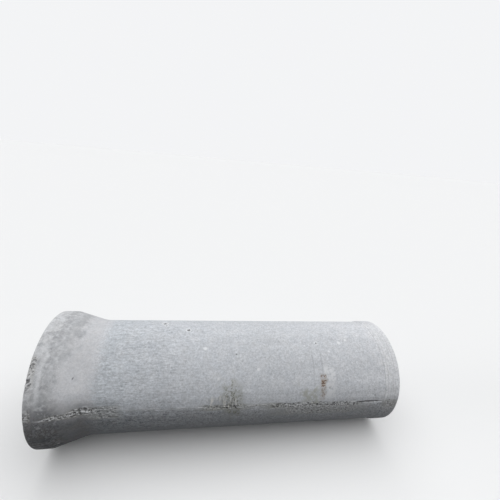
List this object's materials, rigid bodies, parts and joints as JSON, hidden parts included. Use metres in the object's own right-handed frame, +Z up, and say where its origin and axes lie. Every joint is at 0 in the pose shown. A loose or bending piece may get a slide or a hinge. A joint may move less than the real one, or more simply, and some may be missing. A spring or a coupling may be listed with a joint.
{
  "type": "concrete sewer pipe",
  "caption": "Straight precast concrete drain pipe lying on its side, with a bell socket at one end and a plain spigot with a raised gasket band at the other.",
  "frame": {"origin": "centre of the pipe's bounding box at floor level, with the pipe lying on its side", "axes": "+Z up; +X along the pipe from the bell to the spigot, level with the floor; the pipe's own axis falls towards +X by about 1.4 degrees because it rests on the bell's collar and on the spigot's band"},
  "size_m": [3.1338, 1.1196, 1.1219],
  "materials": {
    "concrete": "cast, matt, weathered"
  },
  "bodies": {
    "root": {"pipe": "concrete"}
  },
  "joints": []
}
